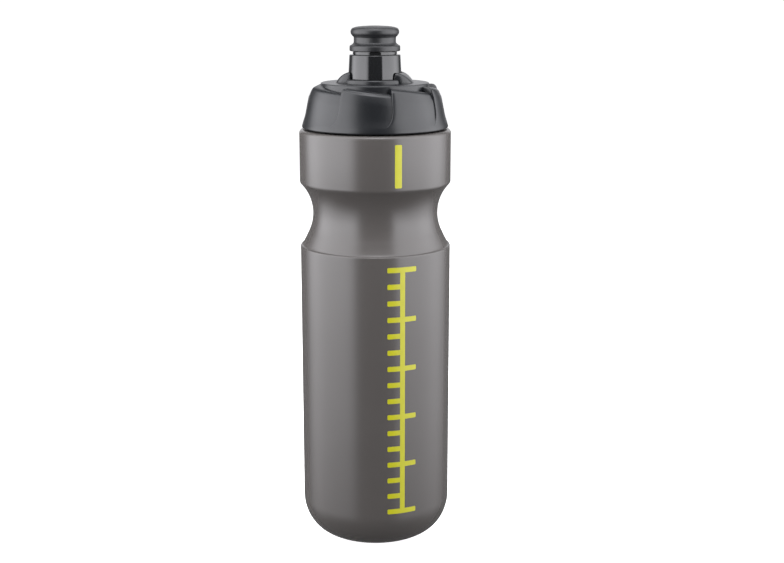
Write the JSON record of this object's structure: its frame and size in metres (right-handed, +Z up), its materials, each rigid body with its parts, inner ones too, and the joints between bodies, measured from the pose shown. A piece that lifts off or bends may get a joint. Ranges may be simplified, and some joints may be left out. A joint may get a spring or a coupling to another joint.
{
  "type": "cycling water bottle",
  "caption": "Squeezable cycling water bottle with a waist for the cage, a screw lid with slanted finger grips and a push-pull drinking valve.",
  "frame": {"origin": "centre of the base, on the surface that the bottle stands on", "axes": "+Z up along the bottle, -Y towards the side that carries the printed marks"},
  "size_m": [0.074, 0.074, 0.2555],
  "materials": {
    "squeeze_shell": "satin smoke-grey low-density polyethylene",
    "lid_plastic": "satin charcoal polypropylene",
    "valve_plastic": "glossy black",
    "soft_rubber": "satin soft elastomer",
    "seal_rubber": "matt silicone"
  },
  "bodies": {
    "bottle": {"bottle_shell": "squeeze_shell"},
    "gasket": {"lid_gasket": "seal_rubber"},
    "cap": {"lid": "lid_plastic", "spout_ring_seal": "seal_rubber"},
    "valve": {"valve_sleeve": "valve_plastic", "mouthpiece": "soft_rubber"}
  },
  "joints": [
    {"name": "lid_rise", "type": "slide", "parent": "bottle", "child": "gasket", "axis": [0, 0, 1], "range_m": [0, 0.0092]},
    {"name": "lid_turn", "type": "hinge", "parent": "gasket", "child": "cap", "pos_m": [0, 0, 0.2], "axis": [0, 0, 1], "range_deg": [0, 720]},
    {"name": "valve_pull", "type": "slide", "parent": "cap", "child": "valve", "axis": [0, 0, 1], "range_m": [0, 0.007]}
  ],
  "couplings": [
    {"joint": "lid_rise", "follows": "lid_turn", "m_per_rad": 0.0007162}
  ]
}
